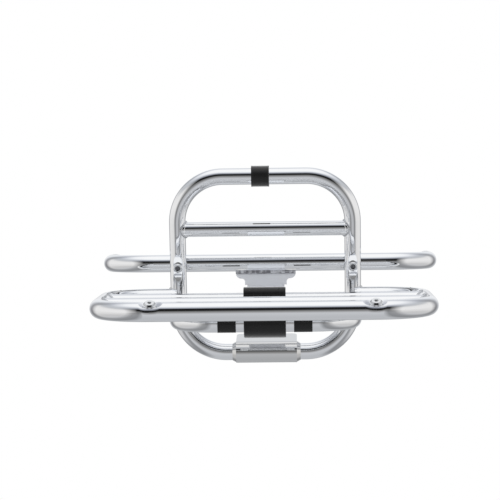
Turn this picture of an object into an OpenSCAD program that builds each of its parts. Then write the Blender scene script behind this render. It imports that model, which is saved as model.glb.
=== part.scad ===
// Tubular luggage rack for a motor scooter. A round-cornered hoop leans towards the platform, a
// loop with two cross tubes makes the platform, and a bow below it carries two rubber rests.
// Platform frame: X to the right, Y away from the platform's front, Z up from its centre plane,
// and Y = 0 where the hoop's tubes cross that plane.

/* [Platform] */
// Outer diameter of the loop's tube
loop_d = 20; // [18:0.5:22]
// Width of the loop between tube centrelines
loop_w = 339; // [310:1:370]
// Distance of the front tube in front of the hoop
loop_reach = 187; // [170:1:210]
// Distance of the rear runs in front of the hoop's centre
loop_rear_set = 6; // [3:0.5:9]
// Bend radius of the front corners
loop_front_bend = 56; // [45:1:62]
// Bend radius of the rear corners
loop_rear_bend = 50; // [40:1:56]
// How far short of the hoop's tube centre the loop's ends stop
loop_end_gap = 1.5; // [0.5:0.5:4]
// Outer diameter of the two cross tubes
cross_tube_d = 19; // [16:0.5:19]
// Distance from the front tube to the first cross tube
front_cross_gap = 64; // [50:1:75]
// Distance between the two cross tubes
rear_cross_gap = 52; // [46:1:60]
// Diameter of the plating vent in each rear corner
vent_d = 3; // [2:0.5:4]
// Place of the vent round the rear corner, from the side tube
vent_angle = 40; // [30:1:60]

/* [Hoop] */
// Outer diameter of the hoop's tube
hoop_d = 18; // [16:0.5:19]
// Width of the hoop between tube centrelines
hoop_w = 191; // [184:1:206]
// Rise of the hoop's top run above the platform, along the hoop
hoop_rise = 133.5; // [120:0.5:160]
// Drop of the hoop's foot below the platform, along the hoop
hoop_drop = 62.5; // [61:0.5:75]
// Bend radius of the top corners
hoop_top_bend = 50; // [40:1:58]
// Bend radius of the foot corners
hoop_foot_bend = 52; // [45:1:54]
// Lean of the hoop towards the platform, in degrees
hoop_lean = 8; // [0:1:12]
// Outer diameter of the hoop's cross bar
cross_bar_d = 16; // [12:0.5:16]
// Height of the cross bar along the hoop
cross_bar_rise = 75.5; // [66:0.5:80]
// Wall of every tube
wall = 1.6; // [1.2:0.1:2]
// Height of a weld bead along the tube that is welded on
weld_run = 2.4; // [1:0.2:3]
// Thickness of a weld bead
weld_t = 0.5; // [0.3:0.1:0.5]

/* [Back bar] */
// Outer diameter of the back bar
back_bar_d = 19; // [18:0.5:22]
// Width of the back bar between the centrelines of its arms
back_bar_w = 356; // [330:1:380]
// Bend radius at its ends
back_bar_bend = 50; // [40:1:56]
// Length of each arm behind its bend
back_arm = 34; // [28:1:60]
// Fall of the arms towards the back, in degrees
back_arm_fall = 2; // [0:1:10]
// Offset of the back bar to the right of the middle
back_bar_x = 4; // [0:0.5:6]
// Height of the back bar and its screws along the hoop
back_bar_rise = 34.5; // [30:0.5:42]
// Depth of the saddles that seat the back bar on the hoop
saddle_depth = 2; // [1:0.25:2.5]
// Depth of the flat under each washer
back_flat_depth = 0.8; // [0.5:0.1:1]
// Thickness of the head of an end plug
plug_head = 2.2; // [1.5:0.1:4]
// Length of an end plug inside the tube
plug_spigot = 12; // [8:1:20]

/* [Support bow and rubber] */
// Outer diameter of the bow's tube
bow_d = 20; // [16:0.5:20]
// How much narrower the bow is than the hoop
bow_inset = 3; // [0:0.5:6]
// Thickness of the rubber rests on the bow
pad_t = 2.8; // [2:0.1:4]
// Length of a rubber rest
pad_len = 19.6; // [15:0.2:24]
// Gap between a rest and the hook's sleeve
pad_gap = 8.4; // [4:0.2:14]
// Straight length of the bow beyond a rest, before its bend
pad_to_bend = 1.7; // [0.5:0.1:6]
// Half of the opening under a rest, in degrees
pad_opening = 42; // [30:1:60]
// Gap between rubber and what rests on it
rest_gap = 0.2; // [0.1:0.05:0.4]
// Length of the sleeve on the hoop
hoop_sleeve_len = 19.4; // [15:0.2:30]
// Wall of the sleeve on the hoop
hoop_sleeve_t = 2.5; // [1.5:0.1:4]
// Place of that sleeve from the middle
hoop_sleeve_x = -4.4; // [-12:0.2:12]

/* [Centre hook] */
// Thickness of the hook's sheet
hook_t = 2.2; // [1.5:0.1:3]
// Width of the strap over the rear cross tube
strap_w = 41; // [34:1:44]
// Width of the plate under the back bar
plate_w = 66; // [58:1:80]
// Width of the plate's neck
neck_w = 46; // [44:0.5:50]
// Height of the plate's shoulder below the back bar
shoulder_drop = 8; // [7:0.5:10]
// Radius of the shoulder's round corner
shoulder_r = 6; // [4:0.5:6.5]
// Radius of the hollow under the shoulder
neck_r = 3.5; // [2:0.5:4]
// Inside radius of the hook's bends
hook_bend = 4; // [3:0.5:7]
// Rise of the strap from the plate to the cross tube, in degrees
strap_rise = 4.2; // [0:0.2:5]
// How far the hook turns past straight down, in degrees
hook_turn = 110; // [90:5:140]
// Wall of the hook's rubber sleeve
sleeve_t = 1.8; // [1.4:0.1:2.4]
// Length of the sleeve behind the rear cross tube
sleeve_back = 26; // [18:1:40]
// Angle of bare hook beyond the sleeve, in degrees
hook_bare = 8; // [4:1:20]

/* [Lower bracket] */
// Length of the bracket along the hoop's foot
bracket_w = 67; // [50:1:76]
// Thickness of the bracket
bracket_t = 3; // [2:0.5:4]
// Depth of the flange from the tube's centre
flange_depth = 35; // [28:1:50]
// Radius of the flange's corners
flange_corner = 6; // [3:0.5:8]
// Diameter of the flange's bolt holes
flange_hole_d = 6.6; // [5.5:0.1:8.5]
// Distance between the two bolt holes
flange_hole_gap = 32; // [24:1:44]
// Distance of the bolt holes behind the tube's centre
flange_hole_back = 23; // [18:0.5:26]
// Length of the weld at each end of the bracket
bracket_weld = 4; // [2:0.5:6]

/* [Screws] */
// Thread diameter of all screws
thread_d = 6; // [5:0.5:6]
// Head diameter of the hoop's screws
cap_head_d = 10; // [9:0.5:11]
// Head height of the hoop's screws
cap_head_h = 4.2; // [3:0.2:6]
// Depth of the pressed seat under those heads
cap_seat_depth = 1.5; // [1:0.1:2]
// Length of that pressed seat
cap_seat_len = 30; // [24:1:36]
// Head diameter of the platform's screws
button_head_d = 12.4; // [11:0.2:13]
// Head height of the platform's screws
button_head_h = 3.4; // [2.6:0.2:5]
// Depth of the pressed seat under those heads
button_seat_depth = 2; // [1:0.1:2.5]
// Length of that pressed seat
button_seat_len = 26; // [20:1:34]
// Distance of a platform screw from the corner's bend
button_inset = 0.5; // [0:0.5:14]
// Tilt of the platform's screws towards the front, in degrees
button_tilt = 30; // [0:5:45]
// Outer diameter of the threaded bush under it
bush_d = 10; // [9:0.5:11]
// Length of that bush
bush_len = 9; // [7:0.5:10]
// Key size of the hoop's screws
cap_key = 5; // [4:0.5:6]
// Key size of the platform's screws
button_key = 4; // [3:0.5:5]
// Height of the sloped edge of the hoop's screw heads
cap_edge = 0.8; // [0.4:0.1:1.2]
// Height of the sloped edge of the platform's screw heads
button_edge = 1.6; // [0.8:0.1:2]
// Outer diameter of a washer
washer_d = 12; // [11.5:0.5:14]
// Thickness of a washer
washer_t = 1.2; // [1:0.1:2]
// Width across flats of a dome nut
nut_flats = 10; // [10:0.5:11]
// Height of the dome nut's hexagon
nut_h = 5; // [4:0.2:7]

/* [Hidden] */
$fn = 64;

loop_r = loop_d / 2;
cross_tube_r = cross_tube_d / 2;
hoop_r = hoop_d / 2;
cross_bar_r = cross_bar_d / 2;
back_bar_r = back_bar_d / 2;
bow_r = bow_d / 2;
clearance = 0.3;
// How far two stretches of one sheet reach into each other
lap = 0.01;

loop_front_y = -loop_reach;
loop_rear_y = -loop_rear_set;
front_cross_y = loop_front_y + front_cross_gap;
rear_cross_y = front_cross_y + rear_cross_gap;
loop_end_x = hoop_w / 2 + loop_end_gap;
loop_bore_end_x = hoop_w / 2 + hoop_r + wall;
button_x = loop_w / 2 - loop_front_bend - button_inset;

// The bow lies right under the rear cross tube, with the rests between them. It bends beyond them
bow_w = hoop_w - bow_inset;
pad_x = strap_w / 2 + sleeve_t + pad_gap + pad_len / 2;
bow_bend = bow_w / 2 - pad_x - pad_len / 2 - pad_to_bend;
bow_y = rear_cross_y;
bow_z = -(cross_tube_r + rest_gap + pad_t + bow_r);
bow_arm = -bow_z * tan(hoop_lean) - hoop_r / 2 - bow_y;

// Distances in the hoop's own plane are measured along it, and y is square to it
back_bar_y = hoop_r + back_bar_r - saddle_depth;
cap_seat_y = -(hoop_r - cap_seat_depth);
washer_y = back_bar_y + back_bar_r - back_flat_depth;
cap_screw_len = washer_y + washer_t + nut_h + 1 - cap_seat_y;
plate_y = back_bar_y * cos(hoop_lean) - back_bar_rise * sin(hoop_lean);
back_bar_z = back_bar_y * sin(hoop_lean) + back_bar_rise * cos(hoop_lean);

// The strap's middle line: down the plate, forward over the cross tube, down, round the bow
strap_off = rest_gap + sleeve_t + hook_t / 2;
drop_y = bow_y - max(bow_r, cross_tube_r) - strap_off;
crest_z = cross_tube_r + strap_off / cos(strap_rise);
strap_front_z = crest_z + (rear_cross_y - drop_y) * tan(strap_rise);
strap_back_z = crest_z - (plate_y - rear_cross_y) * tan(strap_rise);
hook_r = bow_y - drop_y;
bend_mid = hook_bend + hook_t / 2;
bend_reach = bend_mid / tan((90 - strap_rise) / 2);
strap_back_y = plate_y - bend_reach * cos(strap_rise);
plate_low_z = strap_back_z + bend_reach;
shoulder_z = back_bar_z - back_bar_r - shoulder_drop;

flange_top = bracket_t + hoop_r - hoop_drop;
flange_y = flange_hole_back * cos(hoop_lean) - flange_top * sin(hoop_lean);
flange_z = flange_hole_back * sin(hoop_lean) + flange_top * cos(hoop_lean);

chrome = "gainsboro";
steel = "silver";
rubber = [0.1, 0.1, 0.1];

// The part's origin is the middle of the lower bracket's bolt holes, on the flange's top face
module on_bolt_holes() translate([0, -flange_y, -flange_z]) children();

module both_sides() {
    children();
    mirror([1, 0, 0]) children();
}

module in_hoop_plane() rotate([hoop_lean, 0, 0]) children();

// A straight tube along X, from the middle to both sides
module cross_rod(len, r) translate([-len / 2, 0, 0]) rotate([0, 90, 0]) cylinder(h = len, r = r);

// A quarter bend from +X to +Y
module quarter_bend(bend_r, r) rotate_extrude(angle = 90) translate([bend_r, 0]) circle(r = r);

// A bar with both ends bent to +Y
module u_bow(w, bend_r, arm, r) {
    cross_rod(w - 2 * bend_r, r);
    both_sides() {
        translate([w / 2 - bend_r, bend_r, 0]) rotate([0, 0, -90]) quarter_bend(bend_r, r);
        translate([w / 2, bend_r, 0]) rotate([-90, 0, 0]) cylinder(h = arm - bend_r, r = r);
    }
}

module hoop_path(r) in_hoop_plane() {
    translate([0, 0, hoop_rise]) cross_rod(hoop_w - 2 * hoop_top_bend, r);
    translate([0, 0, -hoop_drop]) cross_rod(hoop_w - 2 * hoop_foot_bend, r);
    both_sides() {
        translate([hoop_w / 2 - hoop_top_bend, 0, hoop_rise - hoop_top_bend])
            rotate([90, 0, 0]) quarter_bend(hoop_top_bend, r);
        translate([hoop_w / 2, 0, hoop_foot_bend - hoop_drop])
            cylinder(h = hoop_rise + hoop_drop - hoop_top_bend - hoop_foot_bend, r = r);
        translate([hoop_w / 2 - hoop_foot_bend, 0, hoop_foot_bend - hoop_drop])
            rotate([90, 0, 0]) rotate([0, 0, -90]) quarter_bend(hoop_foot_bend, r);
    }
}

module loop_path(r, end_x) {
    translate([0, loop_front_y, 0])
        u_bow(loop_w, loop_front_bend, loop_rear_y - loop_rear_bend - loop_front_y, r);
    both_sides() translate([loop_w / 2 - loop_rear_bend, loop_rear_y - loop_rear_bend, 0]) {
        quarter_bend(loop_rear_bend, r);
        translate([0, loop_rear_bend, 0]) rotate([0, -90, 0])
            cylinder(h = loop_w / 2 - loop_rear_bend - end_x, r = r);
    }
}

module bow_path(r, over = 0) translate([0, bow_y, bow_z]) u_bow(bow_w, bow_bend, bow_arm + over, r);

module back_bar_path(r, over = 0)
    in_hoop_plane() translate([back_bar_x, back_bar_y, back_bar_rise])
        rotate([-hoop_lean - back_arm_fall, 0, 0]) u_bow(back_bar_w, back_bar_bend, back_bar_bend + back_arm + over, r);

// A pressed oval seat for a screw head, on the top of a tube that lies along X. With a grow it is
// the same seat with the tube's wall under it
module pressed_seat(r, depth, len, head_d, grow = 0) {
    sweep_r = len * len / (8 * depth) + depth / 2;
    translate([0, 0, r - depth + sweep_r]) rotate([90, 0, 0])
        cylinder(h = 4 * r, r = sweep_r + grow, center = true);
    translate([0, 0, r - depth - grow]) cylinder(h = 2 * r, r = head_d / 2 + clearance + grow);
}

module hoop_seats(grow = 0)
    in_hoop_plane() both_sides() translate([hoop_w / 2, 0, back_bar_rise])
        rotate([90, 0, 0]) rotate([0, 0, 90])
            pressed_seat(hoop_r, cap_seat_depth, cap_seat_len, cap_head_d, grow);

module hoop_screw_holes(from_y, to_y)
    in_hoop_plane() both_sides() translate([hoop_w / 2, from_y, back_bar_rise])
        rotate([-90, 0, 0]) cylinder(h = to_y - from_y, r = thread_d / 2 + clearance);

module at_button(side) translate([side * button_x, loop_front_y, 0]) rotate([button_tilt, 0, 0]) children();

module loop_seats(grow = 0)
    for (side = [-1, 1]) at_button(side)
        pressed_seat(loop_r, button_seat_depth, button_seat_len, button_head_d, grow);

module hoop() color(chrome) difference() {
    hoop_path(hoop_r);
    difference() {
        hoop_path(hoop_r - wall);
        hoop_seats(wall);
    }
    hoop_seats();
    hoop_screw_holes(-2 * hoop_r, 2 * hoop_r);
}

module cross_bar() color(chrome) difference() {
    union() {
        in_hoop_plane() translate([0, 0, cross_bar_rise]) cross_rod(hoop_w, cross_bar_r);
        intersection() {
            in_hoop_plane() translate([0, 0, cross_bar_rise]) cross_rod(hoop_w, cross_bar_r + weld_t);
            hoop_path(hoop_r + weld_run);
        }
    }
    hoop_path(hoop_r);
    in_hoop_plane() translate([0, 0, cross_bar_rise]) cross_rod(hoop_w, cross_bar_r - wall);
}

module hoop_sleeve() color(rubber)
    in_hoop_plane() translate([hoop_sleeve_x, 0, hoop_rise]) difference() {
        cross_rod(hoop_sleeve_len, hoop_r + hoop_sleeve_t);
        cross_rod(hoop_sleeve_len + 2, hoop_r);
    }

// A sheet rolled round the hoop's foot, with its free edge as a drilled flange
module lower_bracket() color(chrome) in_hoop_plane() translate([0, 0, -hoop_drop]) difference() {
    union() {
        cross_rod(bracket_w, hoop_r + bracket_t);
        both_sides() translate([bracket_w / 2, 0, 0]) rotate([0, 90, 0])
            cylinder(h = bracket_weld, r1 = hoop_r + bracket_t - weld_t, r2 = hoop_r + weld_t / 2);
        translate([0, 0, hoop_r]) linear_extrude(bracket_t) flange_outline();
    }
    cross_rod(bracket_w + 4 * bracket_weld, hoop_r);
    both_sides() translate([flange_hole_gap / 2, flange_hole_back, 0])
        cylinder(h = 2 * hoop_r + bracket_t, r = flange_hole_d / 2);
}

module flange_outline() {
    translate([-bracket_w / 2, 0]) square([bracket_w, flange_depth - flange_corner]);
    translate([flange_corner - bracket_w / 2, 0]) square([bracket_w - 2 * flange_corner, flange_depth]);
    for (side = [-1, 1])
        translate([side * (bracket_w / 2 - flange_corner), flange_depth - flange_corner])
            circle(r = flange_corner);
}

module platform_loop() color(chrome) difference() {
    loop_path(loop_r, loop_end_x);
    difference() {
        loop_path(loop_r - wall, loop_bore_end_x);
        loop_seats(wall);
    }
    hoop_path(hoop_r);
    loop_seats();
    for (side = [-1, 1]) at_button(side) cylinder(h = loop_r, r = thread_d / 2 + clearance);
    both_sides() translate([loop_w / 2 - loop_rear_bend, loop_rear_y - loop_rear_bend, 0])
        rotate([0, 0, vent_angle]) translate([loop_rear_bend, 0, 0]) cylinder(h = 2 * loop_r, r = vent_d / 2);
}

// A tube between the loop's sides, coped and welded to them
module platform_cross_tube(y) color(chrome) difference() {
    union() {
        translate([0, y, 0]) cross_rod(loop_w, cross_tube_r);
        intersection() {
            translate([0, y, 0]) cross_rod(loop_w, cross_tube_r + weld_t / 2);
            loop_path(loop_r + weld_run, loop_end_x);
        }
    }
    loop_path(loop_r, loop_end_x);
    translate([0, y, 0]) cross_rod(loop_w, cross_tube_r - wall);
}

module front_cross_tube() platform_cross_tube(front_cross_y);
module rear_cross_tube() platform_cross_tube(rear_cross_y);

module support_bow() color(chrome) difference() {
    bow_path(bow_r);
    bow_path(bow_r - wall, 1);
    hoop_path(hoop_r);
}

// A rubber clip over the bow, open below
module bow_pad(side) color(rubber)
    translate([side * pad_x - pad_len / 2, bow_y, bow_z]) rotate([90, 0, 90]) linear_extrude(pad_len)
        difference() {
            circle(r = bow_r + pad_t);
            circle(r = bow_r);
            polygon([[0, 0], 2 * bow_r * [-tan(pad_opening), -1], 2 * bow_r * [tan(pad_opening), -1]]);
        }

module bow_pad_left() bow_pad(-1);
module bow_pad_right() bow_pad(1);

// The saddles and flats keep the tube's full wall
module back_bar() color(chrome) difference() {
    back_bar_path(back_bar_r);
    difference() {
        back_bar_path(back_bar_r - wall, 1);
        hoop_path(hoop_r + wall);
    }
    hoop_path(hoop_r);
    in_hoop_plane() both_sides() translate([hoop_w / 2, washer_y, back_bar_rise])
        rotate([-90, 0, 0]) cylinder(h = back_bar_r, r = washer_d / 2 + clearance);
    hoop_screw_holes(0, 4 * hoop_r);
}

module end_plug(side) color(rubber)
    in_hoop_plane() translate([back_bar_x, back_bar_y, back_bar_rise])
        rotate([-hoop_lean - back_arm_fall, 0, 0])
        translate([side * back_bar_w / 2, back_bar_bend + back_arm, 0]) rotate([-90, 0, 0]) {
            cylinder(h = plug_head / 2, r = back_bar_r);
            translate([0, 0, plug_head / 2])
                cylinder(h = plug_head / 2, r1 = back_bar_r, r2 = back_bar_r - plug_head / 2);
            translate([0, 0, -plug_spigot]) cylinder(h = plug_spigot, r = back_bar_r - wall);
        }

module end_plug_left() end_plug(-1);
module end_plug_right() end_plug(1);

// The hook's middle line as straight stretches and bends, grown by half a thickness. Seen along X,
// with y across and z up
module hook_profile(t, back_y, end_turn) {
    translate([drop_y, strap_front_z]) rotate(-strap_rise) translate([bend_reach, -t / 2])
        square([(back_y - drop_y) / cos(strap_rise) - bend_reach + lap, t]);
    translate([drop_y + bend_mid, strap_front_z - bend_reach]) strip_arc(bend_mid, t, 90 - strap_rise, 180);
    translate([drop_y - t / 2, bow_z]) square([t, strap_front_z - bend_reach - bow_z]);
    translate([bow_y, bow_z]) strip_arc(hook_r, t, 180, 180 + end_turn);
}

// An arc of a strip round the origin, from angle a0 to a1 within half a turn
module strip_arc(mid_r, t, a0, a1) difference() {
    circle(r = mid_r + t / 2);
    circle(r = mid_r - t / 2);
    rotate(a0) translate([-2 * mid_r, -4 * mid_r]) square([4 * mid_r, 4 * mid_r]);
    rotate(a1) translate([-2 * mid_r, 0]) square([4 * mid_r, 4 * mid_r]);
}

module plate_outline() {
    top = back_bar_z - back_bar_r / 2;
    translate([-plate_w / 2, shoulder_z + shoulder_r]) square([plate_w, top - shoulder_z - shoulder_r]);
    translate([shoulder_r - plate_w / 2, shoulder_z]) square([plate_w - 2 * shoulder_r, top - shoulder_z]);
    translate([-neck_w / 2, plate_low_z]) square([neck_w, top - plate_low_z]);
    for (side = [-1, 1]) {
        translate([side * (plate_w / 2 - shoulder_r), shoulder_z + shoulder_r]) circle(r = shoulder_r);
        difference() {
            translate([side * (neck_w / 2 + neck_r / 2), shoulder_z - neck_r / 2]) square(neck_r, center = true);
            translate([side * (neck_w / 2 + neck_r), shoulder_z - neck_r]) circle(r = neck_r);
        }
    }
}

// The plate is welded under the back bar, and its strap runs forward and hooks round the bow
module hook_plate() color(chrome) difference() {
    union() {
        translate([0, plate_y + hook_t / 2, 0]) rotate([90, 0, 0]) linear_extrude(hook_t) plate_outline();
        rotate([90, 0, 90]) translate([0, 0, -strap_w / 2]) linear_extrude(strap_w) {
            hook_profile(hook_t, strap_back_y, hook_turn);
            translate([plate_y - bend_mid, plate_low_z]) strip_arc(bend_mid, hook_t, 270 - strap_rise, 360);
            translate([plate_y - hook_t / 2, plate_low_z]) square([hook_t, neck_r]);
        }
        intersection() {
            translate([-plate_w / 2, plate_y - hook_t / 2 - weld_run, back_bar_z - 2 * back_bar_r])
                cube([plate_w, hook_t + 2 * weld_run, 2 * back_bar_r]);
            back_bar_path(back_bar_r + weld_run);
        }
    }
    back_bar_path(back_bar_r);
}

module hook_sleeve() color(rubber) rotate([90, 0, 90]) difference() {
    translate([0, 0, -strap_w / 2 - sleeve_t]) linear_extrude(strap_w + 2 * sleeve_t)
        hook_profile(hook_t + 2 * sleeve_t, rear_cross_y + sleeve_back, hook_turn - hook_bare);
    translate([0, 0, -strap_w / 2]) linear_extrude(strap_w)
        hook_profile(hook_t, strap_back_y, hook_turn);
}

// A screw with its head's seat at the origin and its thread along -Z
module socket_screw(head_d, head_h, len, key, edge) difference() {
    union() {
        cylinder(h = head_h - edge, r = head_d / 2);
        translate([0, 0, head_h - edge]) cylinder(h = edge, r1 = head_d / 2, r2 = head_d / 2 - edge);
        translate([0, 0, -len]) cylinder(h = len, r = thread_d / 2);
    }
    translate([0, 0, head_h / 2]) cylinder(h = head_h, r = key / sqrt(3), $fn = 6);
}

module at_hoop_screw(side, y)
    in_hoop_plane() translate([side * hoop_w / 2, y, back_bar_rise]) rotate([-90, 0, 0]) children();

module hoop_screw(side) color(steel)
    at_hoop_screw(side, cap_seat_y) mirror([0, 0, 1])
        socket_screw(cap_head_d, cap_head_h, cap_screw_len, cap_key, cap_edge);
module hoop_screw_left() hoop_screw(-1);
module hoop_screw_right() hoop_screw(1);

module washer(side) color(steel) at_hoop_screw(side, washer_y) difference() {
    cylinder(h = washer_t, r = washer_d / 2);
    translate([0, 0, -1]) cylinder(h = washer_t + 2, r = thread_d / 2 + clearance);
}
module washer_left() washer(-1);
module washer_right() washer(1);

module dome_nut(side) color(steel) at_hoop_screw(side, washer_y + washer_t) difference() {
    union() {
        cylinder(h = nut_h, r = nut_flats / sqrt(3), $fn = 6);
        translate([0, 0, nut_h]) intersection() {
            sphere(r = nut_flats / 2 - clearance);
            translate([0, 0, nut_flats / 2]) cube(nut_flats, center = true);
        }
    }
    translate([0, 0, -1]) cylinder(h = nut_h + 3, r = thread_d / 2);
}
module dome_nut_left() dome_nut(-1);
module dome_nut_right() dome_nut(1);

module at_platform_screw(side) at_button(side) translate([0, 0, loop_r - button_seat_depth]) children();

module platform_screw(side) color(steel) at_platform_screw(side)
    socket_screw(button_head_d, button_head_h, wall + bush_len, button_key, button_edge);
module platform_screw_left() platform_screw(-1);
module platform_screw_right() platform_screw(1);

module thread_bush(side) color(steel) at_platform_screw(side) translate([0, 0, -wall - bush_len]) difference() {
    cylinder(h = bush_len, r = bush_d / 2);
    translate([0, 0, -1]) cylinder(h = bush_len + 2, r = thread_d / 2);
}
module thread_bush_left() thread_bush(-1);
module thread_bush_right() thread_bush(1);

on_bolt_holes() hoop();
on_bolt_holes() cross_bar();
on_bolt_holes() hoop_sleeve();
on_bolt_holes() lower_bracket();
on_bolt_holes() platform_loop();
on_bolt_holes() front_cross_tube();
on_bolt_holes() rear_cross_tube();
on_bolt_holes() support_bow();
on_bolt_holes() bow_pad_left();
on_bolt_holes() bow_pad_right();
on_bolt_holes() back_bar();
on_bolt_holes() end_plug_left();
on_bolt_holes() end_plug_right();
on_bolt_holes() hook_plate();
on_bolt_holes() hook_sleeve();
on_bolt_holes() hoop_screw_left();
on_bolt_holes() hoop_screw_right();
on_bolt_holes() washer_left();
on_bolt_holes() washer_right();
on_bolt_holes() dome_nut_left();
on_bolt_holes() dome_nut_right();
on_bolt_holes() platform_screw_left();
on_bolt_holes() platform_screw_right();
on_bolt_holes() thread_bush_left();
on_bolt_holes() thread_bush_right();
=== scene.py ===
import math

import bpy
from mathutils import Matrix, Vector


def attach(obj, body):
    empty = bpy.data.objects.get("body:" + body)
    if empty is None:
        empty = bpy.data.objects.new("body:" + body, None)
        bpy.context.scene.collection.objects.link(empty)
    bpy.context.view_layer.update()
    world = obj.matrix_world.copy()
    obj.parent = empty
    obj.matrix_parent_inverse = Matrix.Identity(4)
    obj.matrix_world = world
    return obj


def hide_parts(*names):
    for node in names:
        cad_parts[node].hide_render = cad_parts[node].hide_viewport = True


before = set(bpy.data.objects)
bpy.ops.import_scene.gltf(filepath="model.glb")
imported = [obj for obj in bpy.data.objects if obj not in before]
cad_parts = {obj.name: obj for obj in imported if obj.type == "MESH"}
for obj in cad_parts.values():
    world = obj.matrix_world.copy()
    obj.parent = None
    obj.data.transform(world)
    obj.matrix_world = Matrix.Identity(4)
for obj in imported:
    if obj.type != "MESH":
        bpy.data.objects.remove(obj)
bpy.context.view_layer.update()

# The hoop is one mild steel tube of 18 mm, bent to a closed ring with round corners and butt welded
# under the lower bracket, with a bar across it. It is polished and bright chromed after all welding
# is done, so its surface is a mirror with the faint waves that the polishing wheel leaves.

# The platform's own zero, seen from the bolt holes. All sizes are in millimetres.
zero_y, zero_z = -29.80, 46.81
hoop_r = 9.0
hoop_leg_x = 95.5
hoop_top_z = 133.5
hoop_lean = math.radians(8)
cross_bar_r = 8.0
cross_bar_z = 75.5


def on_rack(x, y, z):
    """A point of the platform's own frame, in millimetres, as a point of the part in metres."""
    return Vector((x, y + zero_y, z + zero_z)) / 1000


def hoop_plane(x, y, z):
    """A point given along the leaning hoop, in millimetres, as a point of the part in metres."""
    back = y * math.cos(hoop_lean) - z * math.sin(hoop_lean)
    up = y * math.sin(hoop_lean) + z * math.cos(hoop_lean)
    return on_rack(x, back, up)


def node(tree, kind, place, **values):
    """Adds a shader node and sets its properties and its inputs by their names."""
    made = tree.nodes.new(kind)
    made.location = place
    for name, value in values.items():
        if hasattr(made, name):
            setattr(made, name, value)
        else:
            made.inputs[name.replace("_", " ")].default_value = value
    return made


def effect_group(name, vectors, values, results):
    """A node group with named inputs and outputs, and the two nodes at its ends."""
    group = bpy.data.node_groups.new(name, "ShaderNodeTree")
    for socket in vectors:
        group.interface.new_socket(socket, in_out="INPUT", socket_type="NodeSocketVector")
    for socket, value in values.items():
        made = group.interface.new_socket(socket, in_out="INPUT", socket_type="NodeSocketFloat")
        made.default_value = value
    for socket in results:
        group.interface.new_socket(socket, in_out="OUTPUT", socket_type="NodeSocketFloat")
    return group, node(group, "NodeGroupInput", (-900, 0)), node(group, "NodeGroupOutput", (500, 0))


def polishing_marks():
    """Waves and haze of a polished and plated surface: a roughness and a height over the surface."""
    group, inside, outside = effect_group(
        "polishing_marks", ["Position"],
        {"Smooth": 0.03, "Hazy": 0.09, "Wave Size": 22.0, "Haze Size": 60.0}, ["Roughness", "Height"])
    link = group.links.new
    wave = node(group, "ShaderNodeTexNoise", (-400, -200), Detail=1.5, Roughness=0.4)
    haze = node(group, "ShaderNodeTexNoise", (-400, 200), Detail=5.0, Roughness=0.65)
    spread = node(group, "ShaderNodeMapRange", (-100, 200), From_Min=0.38, From_Max=0.72)
    link(inside.outputs["Position"], wave.inputs["Vector"])
    link(inside.outputs["Position"], haze.inputs["Vector"])
    link(inside.outputs["Wave Size"], wave.inputs["Scale"])
    link(inside.outputs["Haze Size"], haze.inputs["Scale"])
    link(haze.outputs["Fac"], spread.inputs["Value"])
    link(inside.outputs["Smooth"], spread.inputs["To Min"])
    link(inside.outputs["Hazy"], spread.inputs["To Max"])
    link(spread.outputs["Result"], outside.inputs["Roughness"])
    link(wave.outputs["Fac"], outside.inputs["Height"])
    return group


marks_group = polishing_marks()


def plated(name, tint, smooth, hazy, wave_size, haze_size, wave_depth, metal=1.0):
    """A chromed or zinc plated metal with its polishing marks, whose waves are deep in millimetres."""
    made = bpy.data.materials.new(name)
    made.use_nodes = True
    tree = made.node_tree
    link = tree.links.new
    skin = tree.nodes["Principled BSDF"]
    skin.inputs["Metallic"].default_value = metal
    skin.inputs["Base Color"].default_value = (*tint, 1)
    place = node(tree, "ShaderNodeTexCoord", (-900, 0))
    marks = node(tree, "ShaderNodeGroup", (-650, 0), node_tree=marks_group, Smooth=smooth, Hazy=hazy,
                 Wave_Size=wave_size, Haze_Size=haze_size)
    bump = node(tree, "ShaderNodeBump", (-300, -200), Strength=1.0, Distance=wave_depth / 1000)
    link(place.outputs["Object"], marks.inputs["Position"])
    link(marks.outputs["Roughness"], skin.inputs["Roughness"])
    link(marks.outputs["Height"], bump.inputs["Height"])
    link(bump.outputs["Normal"], skin.inputs["Normal"])
    return made


def tube_chrome(name):
    """The bright chrome of all the tubes."""
    return plated(name, tint=(0.93, 0.94, 0.955), smooth=0.025, hazy=0.07,
                  wave_size=26.0, haze_size=70.0, wave_depth=0.06)


def finish_node(name, material):
    """Gives a solid of the part its finish."""
    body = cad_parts[name]
    body.data.materials.clear()
    body.data.materials.append(material)


bright_chrome = tube_chrome("bright_chrome")
finish_node("hoop", bright_chrome)
finish_node("cross_bar", bright_chrome)

# A short moulded rubber sleeve is pushed over the middle of the hoop's top run. It keeps what is
# strapped to the rack off the chrome. It has a low rim at each end and a soft matt skin.

sleeve_x = -4.4
sleeve_rim_x = 8.95
both_sides = ((-1, "_left"), (1, "_right"))


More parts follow.
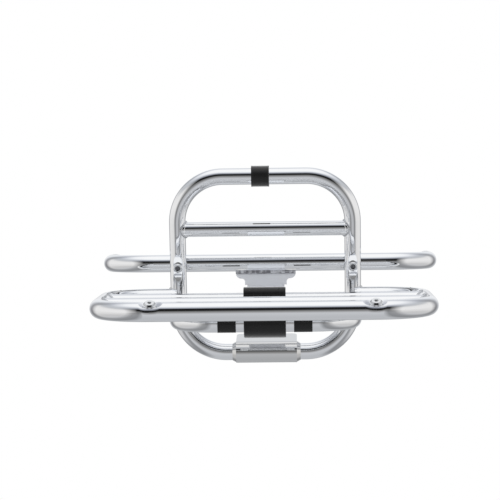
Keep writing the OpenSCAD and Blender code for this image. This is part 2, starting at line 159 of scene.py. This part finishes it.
def moulded(name, colour, shiny, matt, grain, grain_depth):
    """Rubber or plastic out of a mould: a fine grain, and a few shinier rubbed patches."""
    made = bpy.data.materials.new(name)
    made.use_nodes = True
    tree = made.node_tree
    link = tree.links.new
    skin = tree.nodes["Principled BSDF"]
    skin.inputs["Specular IOR Level"].default_value = 0.25
    skin.inputs["Sheen Weight"].default_value = 0.9
    skin.inputs["Sheen Roughness"].default_value = 0.4
    place = node(tree, "ShaderNodeTexCoord", (-1100, 0))
    fine = node(tree, "ShaderNodeTexNoise", (-850, -250), Scale=grain, Detail=2.0)
    patch = node(tree, "ShaderNodeTexNoise", (-850, 100), Scale=90.0, Detail=4.0)
    tone = node(tree, "ShaderNodeMix", (-500, 250), data_type="RGBA")
    tone.inputs[6].default_value = (*colour, 1)
    tone.inputs[7].default_value = (*[shade * 1.9 for shade in colour], 1)
    gloss = node(tree, "ShaderNodeMapRange", (-500, 0), From_Min=0.35, From_Max=0.7,
                 To_Min=shiny, To_Max=matt)
    bump = node(tree, "ShaderNodeBump", (-300, -250), Strength=0.6, Distance=grain_depth / 1000)
    link(place.outputs["Object"], fine.inputs["Vector"])
    link(place.outputs["Object"], patch.inputs["Vector"])
    link(patch.outputs["Fac"], tone.inputs[0])
    link(patch.outputs["Fac"], gloss.inputs["Value"])
    link(fine.outputs["Fac"], bump.inputs["Height"])
    link(tone.outputs[2], skin.inputs["Base Color"])
    link(gloss.outputs["Result"], skin.inputs["Roughness"])
    link(bump.outputs["Normal"], skin.inputs["Normal"])
    return made


def close_up(piece, material, angle=35):
    """Merges, turns the faces outwards, smooths and finishes a new piece, and rides it on the rack."""
    bpy.ops.object.mode_set(mode="EDIT")
    bpy.ops.mesh.select_all(action="SELECT")
    bpy.ops.mesh.remove_doubles(threshold=0.00001)
    bpy.ops.mesh.fill_holes(sides=0)
    bpy.ops.mesh.normals_make_consistent(inside=False)
    bpy.ops.object.mode_set(mode="OBJECT")
    bpy.ops.object.transform_apply(location=True, rotation=True, scale=True)
    bpy.ops.object.shade_smooth_by_angle(angle=math.radians(angle))
    piece.data.materials.clear()
    piece.data.materials.append(material)
    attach(piece, "root")


def flat_outline(name, width, height, up):
    """An upright plane across X, sized and raised in millimetres, as the start of a section."""
    bpy.ops.object.select_all(action="DESELECT")
    bpy.ops.mesh.primitive_plane_add(size=1, location=(0, 0, 0), rotation=(math.radians(90), 0, 0))
    piece = bpy.context.object
    piece.name = piece.data.name = name
    piece.scale = (width / 1000, height / 1000, 1)
    piece.location = (0, 0, up / 1000)
    bpy.ops.object.transform_apply(location=True, rotation=True, scale=True)
    return piece


def round_corners(edge):
    """Rounds the corners of the outline in hand and keeps only its edges, selected in edit mode."""
    bpy.ops.object.mode_set(mode="EDIT")
    bpy.ops.mesh.select_all(action="SELECT")
    bpy.ops.mesh.bevel(offset=edge / 1000, segments=4, affect="VERTICES", offset_type="OFFSET")
    bpy.ops.mesh.select_all(action="SELECT")
    bpy.ops.mesh.delete(type="ONLY_FACE")
    bpy.ops.mesh.select_all(action="SELECT")


def rubber_ring(name, width, low_r, high_r, edge, steps, wrap, at, turn):
    """A moulded ring round a tube along X, whole or open, turned about the tube and put in place."""
    ring = flat_outline(name, width, high_r - low_r, (low_r + high_r) / 2)
    round_corners(edge)
    bpy.ops.mesh.spin(steps=steps, angle=wrap, center=(0, 0, 0), axis=(1, 0, 0))
    bpy.ops.object.mode_set(mode="OBJECT")
    ring.data.transform(Matrix.Translation(at) @ Matrix.Rotation(turn, 4, "X"))
    close_up(ring, soft_rubber)
    return ring


soft_rubber = moulded("soft_rubber", (0.0040, 0.0040, 0.0042), shiny=0.24, matt=0.36,
                      grain=2600.0, grain_depth=0.03)
top_sleeve = rubber_ring("top_sleeve", width=19.4, low_r=9.05, high_r=11.35, edge=0.5, steps=72,
                         wrap=math.tau, at=hoop_plane(sleeve_x, 0, hoop_top_z), turn=hoop_lean)
for side, hand in both_sides:
    rubber_ring("sleeve_rim" + hand, width=1.5, low_r=10.6, high_r=11.5, edge=0.35, steps=72,
                wrap=math.tau, at=hoop_plane(sleeve_x + side * sleeve_rim_x, 0, hoop_top_z), turn=hoop_lean)
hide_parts("hoop_sleeve")

# The platform is a loop of 20 mm tube with a 19 mm tube across it twice, coped and welded. Its two
# ends are welded to the hoop's legs, and its front run is pressed in a little round two screws. It
# is chromed with the rest.

loop_r = 10.0
loop_side_x = 169.5
loop_front_y = -187.0
loop_end_y = -6.0
cross_tube_r = 9.5
front_cross_y = -123.0
rear_cross_y = -71.0
front_screw_x = 113.0
front_screw_turn = math.radians(30)


def near_axis():
    """A mask that is 1 close to a line and fades over a soft edge, such as round a screw."""
    group, inside, outside = effect_group(
        "near_axis", ["Position", "Axis Point", "Axis Direction"],
        {"Radius": 0.003, "Soft Edge": 0.0001}, ["Mask"])
    link = group.links.new
    offset = node(group, "ShaderNodeVectorMath", (-650, 100), operation="SUBTRACT")
    across = node(group, "ShaderNodeVectorMath", (-450, 100), operation="CROSS_PRODUCT")
    far = node(group, "ShaderNodeVectorMath", (-250, 100), operation="LENGTH")
    rim = node(group, "ShaderNodeMath", (-250, -150), operation="ADD")
    mask = node(group, "ShaderNodeMapRange", (100, 0), interpolation_type="SMOOTHSTEP",
                To_Min=1.0, To_Max=0.0)
    link(inside.outputs["Position"], offset.inputs[0])
    link(inside.outputs["Axis Point"], offset.inputs[1])
    link(offset.outputs["Vector"], across.inputs[0])
    link(inside.outputs["Axis Direction"], across.inputs[1])
    link(across.outputs["Vector"], far.inputs[0])
    link(inside.outputs["Radius"], rim.inputs[0])
    link(inside.outputs["Soft Edge"], rim.inputs[1])
    link(far.outputs["Value"], mask.inputs["Value"])
    link(inside.outputs["Radius"], mask.inputs["From Min"])
    link(rim.outputs["Value"], mask.inputs["From Max"])
    link(mask.outputs["Result"], outside.inputs["Mask"])
    return group


near_axis_group = near_axis()


def mask_near(tree, place, point, direction, radius, soft):
    """Puts the mask round a line into a material, with its radius and soft edge in millimetres."""
    close = node(tree, "ShaderNodeGroup", place, node_tree=near_axis_group, Axis_Point=point,
                 Axis_Direction=direction, Radius=radius / 1000, Soft_Edge=soft / 1000)
    surface = node(tree, "ShaderNodeTexCoord", (place[0] - 250, place[1]))
    tree.links.new(surface.outputs["Object"], close.inputs["Position"])
    return close.outputs["Mask"]


def pressed_near(material, point, direction, flat_r, run, depth):
    """Bends a tube's reflections round a screw, where the tube is pressed in a little."""
    tree = material.node_tree
    skin = tree.nodes["Principled BSDF"]
    mask = mask_near(tree, (-650, -500), point, direction, flat_r, run)
    dent = node(tree, "ShaderNodeBump", (-200, -400), invert=True, Strength=1.0, Distance=depth / 1000)
    tree.links.new(mask, dent.inputs["Height"])
    tree.links.new(skin.inputs["Normal"].links[0].from_socket, dent.inputs["Normal"])
    tree.links.new(dent.outputs["Normal"], skin.inputs["Normal"])


pressed_chrome = tube_chrome("pressed_chrome")
for side, hand in both_sides:
    pressed_near(pressed_chrome, on_rack(side * front_screw_x, loop_front_y, 0),
                 (0, -math.sin(front_screw_turn), math.cos(front_screw_turn)), flat_r=4.5, run=7.5, depth=1.0)
finish_node("platform_loop", pressed_chrome)
finish_node("front_cross_tube", bright_chrome)
finish_node("rear_cross_tube", bright_chrome)

# A bow of 20 mm tube below the rear cross tube is welded to the hoop's legs. Two moulded rubber
# clips sit on it, open below, and damp the rack where it rests.

bow_r = 10.0
bow_z = -22.5
bow_end_x = 94.0
rest_x = 40.5
rest_wrap = math.radians(276)

finish_node("support_bow", bright_chrome)
for side, hand in both_sides:
    rest = rubber_ring("bow_rest" + hand, width=19.6, low_r=10.05, high_r=12.8, edge=0.5, steps=56,
                       wrap=-rest_wrap, at=on_rack(side * rest_x, rear_cross_y, bow_z), turn=-rest_wrap / 2)
    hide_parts("bow_pad" + hand)

# The back bar is a 19 mm tube, seated on the hoop in pressed saddles and bolted to it. Its ends
# turn back as arms for clamps, each closed by a moulded black plug with a low crown.

bar_x, bar_y, bar_z = 4.0, 16.5, 34.5
arm_x = 178.0
arm_long = 84.0
arm_fall = math.radians(2)
plug_r = 9.5
plug_head = 2.2
plug_rounding = 0.9
plug_rim, plug_rim_fall = 3.5, 0.4
plug_ring, plug_ring_fall = 0.8, 0.3


def select_top(plug, least_area):
    """Selects the faces of some size that look straight up, and goes to edit mode."""
    bpy.ops.object.mode_set(mode="OBJECT")
    for face in plug.data.polygons:
        face.select = face.normal.z > 0.999 and face.area > least_area
    bpy.ops.object.mode_set(mode="EDIT")


finish_node("back_bar", bright_chrome)
black_plastic = moulded("black_plastic", (0.008, 0.008, 0.009), shiny=0.3, matt=0.45,
                        grain=900.0, grain_depth=0.02)
for side, hand in both_sides:
    bpy.ops.object.select_all(action="DESELECT")
    bpy.ops.mesh.primitive_cylinder_add(
        vertices=64, radius=plug_r / 1000, depth=plug_head / 1000, location=(0, 0, plug_head / 2000))
    plug = bpy.context.object
    plug.name = plug.data.name = "arm_plug" + hand
    bpy.ops.object.transform_apply(location=True, rotation=True, scale=True)
    bpy.ops.object.mode_set(mode="EDIT")
    bpy.ops.mesh.select_mode(type="FACE")
    bpy.ops.mesh.select_all(action="DESELECT")
    select_top(plug, 0)
    bpy.ops.mesh.bevel(offset=plug_rounding / 1000, segments=4)
    select_top(plug, 0.00001)
    bpy.ops.mesh.inset(thickness=plug_rim / 1000, depth=-plug_rim_fall / 1000)
    bpy.ops.mesh.inset(thickness=plug_ring / 1000, depth=-plug_ring_fall / 1000)
    bpy.ops.object.mode_set(mode="OBJECT")
    arm = Vector((side * arm_x, arm_long * math.cos(arm_fall), -arm_long * math.sin(arm_fall))) / 1000
    end = hoop_plane(bar_x, bar_y, bar_z) + arm
    plug.data.transform(Matrix.Translation(end) @ Matrix.Rotation(-math.pi / 2 - arm_fall, 4, "X"))
    close_up(plug, black_plastic)
    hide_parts("end_plug" + hand)

# A plate cut to a Y is welded under the back bar. Close to the bar its plating is painted darker in
# patches: the dull weld, and painted shade under the bar. Its strap runs forward over the rear cross
# tube, turns down in front of it and hooks round the bow, inside a rubber sleeve with soft edges.

cover_wide = 44.6
cover_thick = 5.8
cover_edge = 1.1
cover_middle_up = 3.1
cover_behind_tube = 26.0
strap_rise = math.radians(4.2)
strap_drop_y = -84.1
strap_bend_r = 5.1
hook_wrap = math.radians(102)


def dull_and_shade_near(material, point, direction, radius, dark, soft=0.1, patchy=0.0):
    """Darkens a metal close to a line, evenly or in patches: painted shade, and dull unpolished plating."""
    tree = material.node_tree
    link = tree.links.new
    skin = tree.nodes["Principled BSDF"]
    mask = mask_near(tree, (-650, 500), point, direction, radius, soft)
    surface = node(tree, "ShaderNodeTexCoord", (-1100, 800))
    patch = node(tree, "ShaderNodeTexNoise", (-850, 800), Scale=260.0, Detail=3.0)
    uneven = node(tree, "ShaderNodeMapRange", (-650, 800), From_Min=0.4, From_Max=0.58,
                  To_Min=1.0 - patchy, To_Max=1.0)
    amount = node(tree, "ShaderNodeMath", (-450, 700), operation="MULTIPLY")
    tone = node(tree, "ShaderNodeMix", (-350, 500), data_type="RGBA")
    tone.inputs[6].default_value = skin.inputs["Base Color"].default_value
    tone.inputs[7].default_value = (*dark, 1)
    link(surface.outputs["Object"], patch.inputs["Vector"])
    link(patch.outputs["Fac"], uneven.inputs["Value"])
    link(uneven.outputs["Result"], amount.inputs[0])
    link(mask, amount.inputs[1])
    link(amount.outputs["Value"], tone.inputs[0])
    link(tone.outputs[2], skin.inputs["Base Color"])


satin_chrome = plated("satin_chrome", tint=(0.76, 0.78, 0.82), smooth=0.3, hazy=0.38,
                      wave_size=30.0, haze_size=60.0, wave_depth=0.03, metal=0.25)
# Painted shade and dull weld: the plate's colour darkens in patches within 12 mm of the back bar's axis.
dull_and_shade_near(satin_chrome, hoop_plane(0, bar_y, bar_z), (1, 0, 0), radius=12.0,
            dark=(0.20, 0.20, 0.22), soft=0.4, patchy=0.75)
finish_node("hook_plate", satin_chrome)

strap_front_z = (cross_tube_r + cover_middle_up / math.cos(strap_rise)
                 + (rear_cross_y - strap_drop_y) * math.tan(strap_rise))
strap_bend_start = strap_bend_r / math.tan((math.pi / 2 - strap_rise) / 2)
cover_back_y = rear_cross_y + cover_behind_tube
cover_back_z = strap_front_z - (cover_back_y - strap_drop_y) * math.tan(strap_rise)
straight_run = (cover_back_y - strap_drop_y) / math.cos(strap_rise) - strap_bend_start
bend_low_z = strap_front_z - strap_bend_start

hook_cover = flat_outline("hook_cover", cover_wide, cover_thick, 0)
cover_start = Matrix.Translation(on_rack(0, cover_back_y, cover_back_z))
hook_cover.data.transform(cover_start @ Matrix.Rotation(-strap_rise, 4, "X"))
round_corners(cover_edge)
forward = Vector((0, -math.cos(strap_rise), math.sin(strap_rise))) * straight_run / 1000
bpy.ops.mesh.extrude_region_move(TRANSFORM_OT_translate={"value": forward})
bpy.ops.mesh.spin(steps=14, angle=-math.pi / 2 - strap_rise,
                  center=on_rack(0, strap_drop_y + strap_bend_r, bend_low_z), axis=(1, 0, 0))
bpy.ops.mesh.extrude_region_move(TRANSFORM_OT_translate={"value": (0, 0, -(bend_low_z - bow_z) / 1000)})
bpy.ops.mesh.spin(steps=28, angle=-hook_wrap, center=on_rack(0, rear_cross_y, bow_z), axis=(1, 0, 0))
bpy.ops.object.mode_set(mode="OBJECT")
close_up(hook_cover, soft_rubber)
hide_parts("hook_sleeve")

# A 3 mm sheet is rolled round the hoop's foot and welded at both ends. Its free edge is a flange
# with two bolt holes, which fastens the rack to the scooter. Its chrome is painted darker than the
# tubes', as painted shade for the shadowed space under the rack that it mirrors.

# Painted shade: the same smooth chrome as the tubes, coloured darker for the shade that the bracket mirrors.
shaded_rolled_chrome = plated("shaded_rolled_chrome", tint=(0.75, 0.75, 0.745), smooth=0.03, hazy=0.08,
                       wave_size=26.0, haze_size=70.0, wave_depth=0.04)
finish_node("lower_bracket", shaded_rolled_chrome)

# The screws are zinc plated steel with hexagon sockets. Dome nuts on washers close the two behind
# the back bar, and the two in front sit in threaded bushes inside the loop's tube.


def zinc(name):
    """The bright zinc of the screws and what goes with them."""
    return plated(name, tint=(0.80, 0.81, 0.82), smooth=0.1, hazy=0.2,
                  wave_size=300.0, haze_size=400.0, wave_depth=0.02)


bright_zinc = zinc("bright_zinc")
for side, hand in both_sides:
    for name in ("washer", "dome_nut", "platform_screw", "thread_bush"):
        finish_node(name + hand, bright_zinc)
    # Painted shade: each hoop screw's zinc is coloured darker round its axis, where the hexagon socket lies
    # in shade.
    shaded_socket_zinc = zinc("hoop_screw_shaded_zinc" + hand)
    dull_and_shade_near(shaded_socket_zinc, hoop_plane(side * hoop_leg_x, 0, bar_z),
                (0, math.cos(hoop_lean), math.sin(hoop_lean)), radius=2.8, dark=(0.16, 0.16, 0.17))
    finish_node("hoop_screw" + hand, shaded_socket_zinc)

# Each tube joint is closed by a bead laid by hand, which shows its ripples under the chrome. The
# bead is a thin round seam that follows the line where two pieces meet.

weld_off = 0.2
bar_bead_r, tube_bead_r, end_bead_r, plate_bead_r = 1.25, 1.15, 1.3, 1.7
big_ripple, small_ripple = 0.22, 0.1
leg_y_at_bow = 3.2
leg_slope = 0.14
loop_end_wrap = 104
bow_wrap = 124
bow_upper_start, bow_lower_start = 28, 208
plate_foot_z = 25.6
plate_foot_left, plate_foot_right = -32.0, 31.0
plate_bead_step = 1.5
plate_bead_y = 2.3

weld_chrome = plated("weld_chrome", tint=(0.66, 0.67, 0.69), smooth=0.1, hazy=0.35,
                     wave_size=420.0, haze_size=700.0, wave_depth=0.25)


def bead(name, points, radius, closed=False):
    """A rippled weld bead along a line of points, as a curve with a round section made a mesh."""
    bpy.ops.object.select_all(action="DESELECT")
    bpy.ops.curve.primitive_nurbs_path_add(location=(0, 0, 0))
    seam = bpy.context.object
    seam.name = seam.data.name = name
    seam.data.splines.clear()
    line = seam.data.splines.new("POLY")
    line.points.add(len(points) - 1)
    for k, point in enumerate(points):
        line.points[k].co = (*point, 1)
        line.points[k].radius = 1 + big_ripple * math.sin(2.1 * k) + small_ripple * math.sin(0.73 * k + 1.3)
    line.use_cyclic_u = closed
    seam.data.bevel_depth = radius / 1000
    seam.data.bevel_resolution = 3
    seam.data.use_fill_caps = not closed
    bpy.ops.object.convert(target="MESH")
    seam = bpy.context.object
    close_up(seam, weld_chrome, 80)


def plate_joint(face):
    """The line along the foot of the hook's plate, on its front or its back."""
    steps = round((plate_foot_right - plate_foot_left) / plate_bead_step)
    return [hoop_plane(plate_foot_left + k * plate_bead_step, bar_y + face * plate_bead_y, plate_foot_z)
            for k in range(steps + 1)]


def surface_at(tube_r, aside):
    """How far a tube's surface is from its axis, at a distance to one side of its middle."""
    return math.sqrt(max(tube_r ** 2 - aside ** 2, 0))


def round_tube(tube_r, first=0, last=356, step=4):
    """Places round a tube's section, a little off its skin, from one angle to another in degrees."""
    ring_r = tube_r + weld_off
    turns = [math.radians(angle) for angle in range(first, last + 1, step)]
    return [(ring_r * math.cos(turn), ring_r * math.sin(turn)) for turn in turns]


def cross_bar_joint(side):
    """The line where the cross bar meets a leg of the hoop."""
    return [hoop_plane(side * (hoop_leg_x - surface_at(hoop_r, y) - weld_off), y, cross_bar_z + up)
            for up, y in round_tube(cross_bar_r)]


def cross_tube_joint(side, tube_y):
    """The line where a cross tube meets the loop."""
    return [on_rack(side * (loop_side_x - surface_at(loop_r, z) - weld_off), tube_y + along, z)
            for along, z in round_tube(cross_tube_r)]


def loop_end_joint(side):
    """The line where an end of the loop meets the outside of a leg."""
    return [on_rack(side * (hoop_leg_x + surface_at(hoop_r, loop_end_y + along) + weld_off),
                    loop_end_y + along, z) for along, z in round_tube(loop_r, -loop_end_wrap, loop_end_wrap)]


def bow_joint(side, first):
    """The upper or the lower part of the line where an end of the bow meets the front of a leg."""
    return [on_rack(side * (bow_end_x + aside),
                    leg_y_at_bow - surface_at(hoop_r, aside) - weld_off - leg_slope * up, bow_z + up)
            for aside, up in round_tube(bow_r, first, first + bow_wrap)]


for side, hand in both_sides:
    bead("cross_bar_weld" + hand, cross_bar_joint(side), bar_bead_r, closed=True)
    bead("front_cross_weld" + hand, cross_tube_joint(side, front_cross_y), tube_bead_r, closed=True)
    bead("rear_cross_weld" + hand, cross_tube_joint(side, rear_cross_y), tube_bead_r, closed=True)
    bead("loop_end_weld" + hand, loop_end_joint(side), end_bead_r)
    bead("bow_weld_upper" + hand, bow_joint(side, bow_upper_start), end_bead_r)
    bead("bow_weld_lower" + hand, bow_joint(side, bow_lower_start), end_bead_r)
for face, name in ((-1, "front"), (1, "back")):
    bead("plate_weld_" + name, plate_joint(face), plate_bead_r)

# A round pale table top stands well below the rack. The room that the chrome mirrors is white
# above, has light sides and a dark band in front at the camera's height, and is white to the camera
# itself. A soft lamp above and one from the left front give the shadows.

floor_r = 1.0
floor_z = -0.40
even_light = 0.75


def pale_floor():
    """A pale top that fades to pure white towards its edge."""
    made = bpy.data.materials.new("pale_floor")
    made.use_nodes = True
    tree = made.node_tree
    link = tree.links.new
    ground = tree.nodes["Principled BSDF"]
    ground.inputs["Base Color"].default_value = (0.72, 0.72, 0.73, 1)
    ground.inputs["Roughness"].default_value = 0.9
    place = node(tree, "ShaderNodeTexCoord", (-900, 300))
    away = node(tree, "ShaderNodeVectorMath", (-700, 300), operation="LENGTH")
    fade = node(tree, "ShaderNodeMapRange", (-500, 300), From_Min=0.75, From_Max=1.05)
    white = node(tree, "ShaderNodeEmission", (-200, -300))
    both = node(tree, "ShaderNodeMixShader", (200, 100))
    link(place.outputs["Object"], away.inputs[0])
    link(away.outputs["Value"], fade.inputs["Value"])
    link(fade.outputs["Result"], both.inputs[0])
    link(ground.outputs[0], both.inputs[1])
    link(white.outputs[0], both.inputs[2])
    link(both.outputs[0], tree.nodes["Material Output"].inputs["Surface"])
    return made


bpy.ops.object.select_all(action="DESELECT")
bpy.ops.mesh.primitive_circle_add(vertices=128, radius=floor_r, fill_type="NGON", location=(0, 0, floor_z))
floor = bpy.context.object
floor.name = floor.data.name = "floor"
bpy.ops.object.transform_apply(location=True, rotation=True, scale=True)
floor.data.materials.append(pale_floor())
floor.visible_glossy = False


def by_height(tree, place, height, stops):
    """Colours of the room by their height above the horizon, in degrees."""
    made = node(tree, "ShaderNodeValToRGB", place)
    elements = made.color_ramp.elements
    elements.remove(elements[-1])
    for k, (degrees, shade) in enumerate(stops):
        at = (math.sin(math.radians(degrees)) + 1) / 2
        stop = elements[0] if k == 0 else elements.new(at)
        stop.position = at
        stop.color = (*shade, 1)
    tree.links.new(height, made.inputs["Fac"])
    return made.outputs["Color"]


def share(tree, place, source, start, full):
    """A share that is 0 where the source is at its start, and 1 where it is at its full value."""
    made = node(tree, "ShaderNodeMapRange", place, From_Min=start, From_Max=full)
    tree.links.new(source, made.inputs["Value"])
    return made.outputs["Result"]


def blend(tree, place, amount, first, second, how="MIX"):
    """Two colours blended by a share, where 0 gives the first one and 1 the second."""
    made = node(tree, "ShaderNodeMix", place, data_type="RGBA", blend_type=how)
    for socket, source in ((0, amount), (6, first), (7, second)):
        if isinstance(source, bpy.types.NodeSocket):
            tree.links.new(source, made.inputs[socket])
        else:
            made.inputs[socket].default_value = source
    return made.outputs[2]


def gap_by_side(tree, place, aside):
    """A dim gap between the dark band in front and the light sides, by the distance from the middle."""
    made = node(tree, "ShaderNodeValToRGB", place)
    elements = made.color_ramp.elements
    for k, (at, shade) in enumerate(((0.0, 1.0), (0.2, 1.0), (0.37, 0.5), (0.54, 0.56), (0.72, 1.0))):
        stop = elements[k] if k < 2 else elements.new(at)
        stop.position = at
        stop.color = (shade, shade, shade, 1)
    tree.links.new(aside, made.inputs["Fac"])
    return made.outputs["Color"]


def mirrored_room(tree):
    """The room as the chrome mirrors it, by the height and the side that a reflection looks to."""
    look = node(tree, "ShaderNodeTexCoord", (-1500, 0))
    split = node(tree, "ShaderNodeSeparateXYZ", (-1300, 0))
    tree.links.new(look.outputs["Generated"], split.inputs[0])
    height = share(tree, (-1100, 0), split.outputs["Z"], -1.0, 1.0)
    turned = node(tree, "ShaderNodeMath", (-1100, 250), operation="ABSOLUTE")
    tree.links.new(split.outputs["X"], turned.inputs[0])
    aside = turned.outputs[0]
    middle = by_height(tree, (-900, 100), height, [
        (-90, (0.50, 0.51, 0.53)), (-45, (0.54, 0.55, 0.57)), (-25, (0.57, 0.58, 0.60)),
        (-12, (0.42, 0.42, 0.43)), (-2, (0.26, 0.26, 0.26)), (8, (0.17, 0.17, 0.17)),
        (15, (0.02, 0.02, 0.02)), (31, (0.005, 0.005, 0.005)), (38, (0.20, 0.21, 0.24)),
        (48, (0.46, 0.48, 0.53)), (62, (0.92, 0.93, 0.95)), (74, (1, 1, 1)), (90, (1, 1, 1))])
    sides = by_height(tree, (-900, -100), height, [
        (-90, (0.56, 0.57, 0.59)), (-45, (0.58, 0.58, 0.59)), (-28, (0.60, 0.595, 0.59)),
        (-12, (0.79, 0.78, 0.77)), (6, (0.86, 0.85, 0.84)), (20, (0.83, 0.82, 0.81)),
        (32, (0.55, 0.56, 0.58)), (42, (0.55, 0.57, 0.60)), (56, (0.86, 0.87, 0.90)),
        (70, (1, 1, 1)), (90, (1, 1, 1))])
    back_side = by_height(tree, (-900, -300), height, [
        (-90, (0.52, 0.53, 0.55)), (-60, (0.44, 0.45, 0.47)), (-38, (0.22, 0.22, 0.24)),
        (-18, (0.14, 0.14, 0.15)), (4, (0.24, 0.24, 0.26)), (26, (0.28, 0.29, 0.32)),
        (44, (0.80, 0.82, 0.86)), (60, (1, 1, 1)), (90, (1, 1, 1))])
    back_middle = by_height(tree, (-900, -700), height, [
        (-90, (0.50, 0.51, 0.53)), (-55, (0.42, 0.43, 0.45)), (-28, (0.36, 0.37, 0.38)),
        (-8, (0.60, 0.61, 0.63)), (6, (0.86, 0.87, 0.89)), (24, (0.80, 0.82, 0.85)),
        (42, (0.84, 0.86, 0.90)), (60, (1, 1, 1)), (90, (1, 1, 1))])
    in_middle = share(tree, (-900, 350), aside, 0.74, 0.42)
    above = share(tree, (-900, 850), split.outputs["Z"], -0.2, 0.08)
    behind = share(tree, (-900, -500), split.outputs["Y"], 0.52, 0.84)
    in_back_middle = share(tree, (-900, -900), aside, 0.62, 0.3)
    front = blend(tree, (-600, 200), in_middle, sides, middle)
    gap = blend(tree, (-600, 700), above, gap_by_side(tree, (-900, 600), aside), (1, 1, 1, 1))
    dimmed = blend(tree, (-500, 500), 1.0, front, gap, "MULTIPLY")
    back = blend(tree, (-600, -400), in_back_middle, back_side, back_middle)
    return blend(tree, (-400, 0), behind, dimmed, back)


world = bpy.data.worlds.new("white_room")
bpy.context.scene.world = world
world.use_nodes = True
tree = world.node_tree
tree.nodes.clear()
link = tree.links.new
ray = node(tree, "ShaderNodeLightPath", (-1200, 500))
even = node(tree, "ShaderNodeBackground", (-200, 300), Color=(1, 1, 1, 1), Strength=even_light)
seen = node(tree, "ShaderNodeBackground", (-200, 100), Color=(1, 1, 1, 1), Strength=1.0)
mirrored = node(tree, "ShaderNodeBackground", (-200, -100), Strength=1.0)
either = node(tree, "ShaderNodeMath", (-100, 600), operation="MAXIMUM")
by_glossy = node(tree, "ShaderNodeMixShader", (100, 200))
by_camera = node(tree, "ShaderNodeMixShader", (350, 200))
output = node(tree, "ShaderNodeOutputWorld", (600, 200))
link(mirrored_room(tree), mirrored.inputs["Color"])
link(ray.outputs["Is Glossy Ray"], either.inputs[0])
link(ray.outputs["Is Transmission Ray"], either.inputs[1])
link(either.outputs[0], by_glossy.inputs[0])
link(even.outputs[0], by_glossy.inputs[1])
link(mirrored.outputs[0], by_glossy.inputs[2])
link(ray.outputs["Is Camera Ray"], by_camera.inputs[0])
link(by_glossy.outputs[0], by_camera.inputs[1])
link(seen.outputs[0], by_camera.inputs[2])
link(by_camera.outputs[0], output.inputs["Surface"])

rack_middle = Vector((0, 0, 0.05))


def soft_lamp(name, place, size, power):
    """A square lamp that looks at the rack and isn't seen in the chrome."""
    bpy.ops.object.light_add(type="AREA", location=place)
    lamp = bpy.context.object
    lamp.name = name
    lamp.data.size = size
    lamp.data.energy = power
    lamp.visible_glossy = False
    lamp.rotation_euler = (rack_middle - Vector(place)).to_track_quat("-Z", "Y").to_euler()


soft_lamp("top_lamp", (0, 0, 1.6), size=1.6, power=9.0)
soft_lamp("left_lamp", (-1.3, -1.2, 0.9), size=0.9, power=11.0)

camera_place = Vector((0.035, -2.0818, 0.2073))
camera_yaw = math.radians(1.446)
camera_down = math.radians(3.05)
camera_roll = math.radians(-0.7)

lens = bpy.data.cameras.new("camera")
lens.sensor_width = 36
lens.lens = 134.9
camera = bpy.data.objects.new("camera", lens)
bpy.context.scene.collection.objects.link(camera)
aim = Matrix.Rotation(camera_yaw, 4, "Z") @ Matrix.Rotation(math.pi / 2 - camera_down, 4, "X")
camera.matrix_world = Matrix.Translation(camera_place) @ aim @ Matrix.Rotation(camera_roll, 4, "Z")
bpy.context.scene.camera = camera
bpy.context.scene.view_settings.view_transform = "Standard"

bpy.context.view_layer.update()
